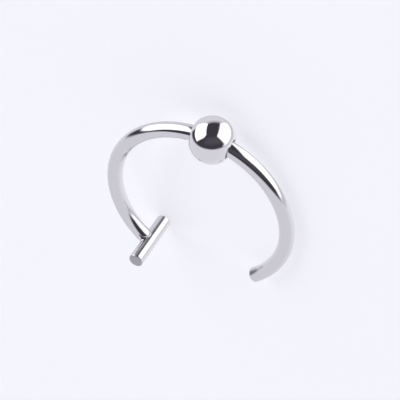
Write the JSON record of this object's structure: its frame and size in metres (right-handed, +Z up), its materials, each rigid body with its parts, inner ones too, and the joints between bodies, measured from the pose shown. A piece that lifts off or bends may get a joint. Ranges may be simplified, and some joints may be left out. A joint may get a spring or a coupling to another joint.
{
  "type": "lip ring",
  "caption": "Open hoop of polished steel wire with a ball on its front, a short cross bar soldered to one end and a plain cut other end.",
  "frame": {"origin": "middle of the overall box at its base, on the floor that the ring lies on", "axes": "+Z up from the floor, +Y from the middle of the hoop towards the ball, +X across the hoop towards the side of the plain cut end"},
  "size_m": [0.0128, 0.0132, 0.0042],
  "materials": {
    "hoop_steel": "polished",
    "ball_steel": "polished"
  },
  "bodies": {
    "root": {"hoop": "hoop_steel", "ball": "ball_steel"}
  },
  "joints": []
}
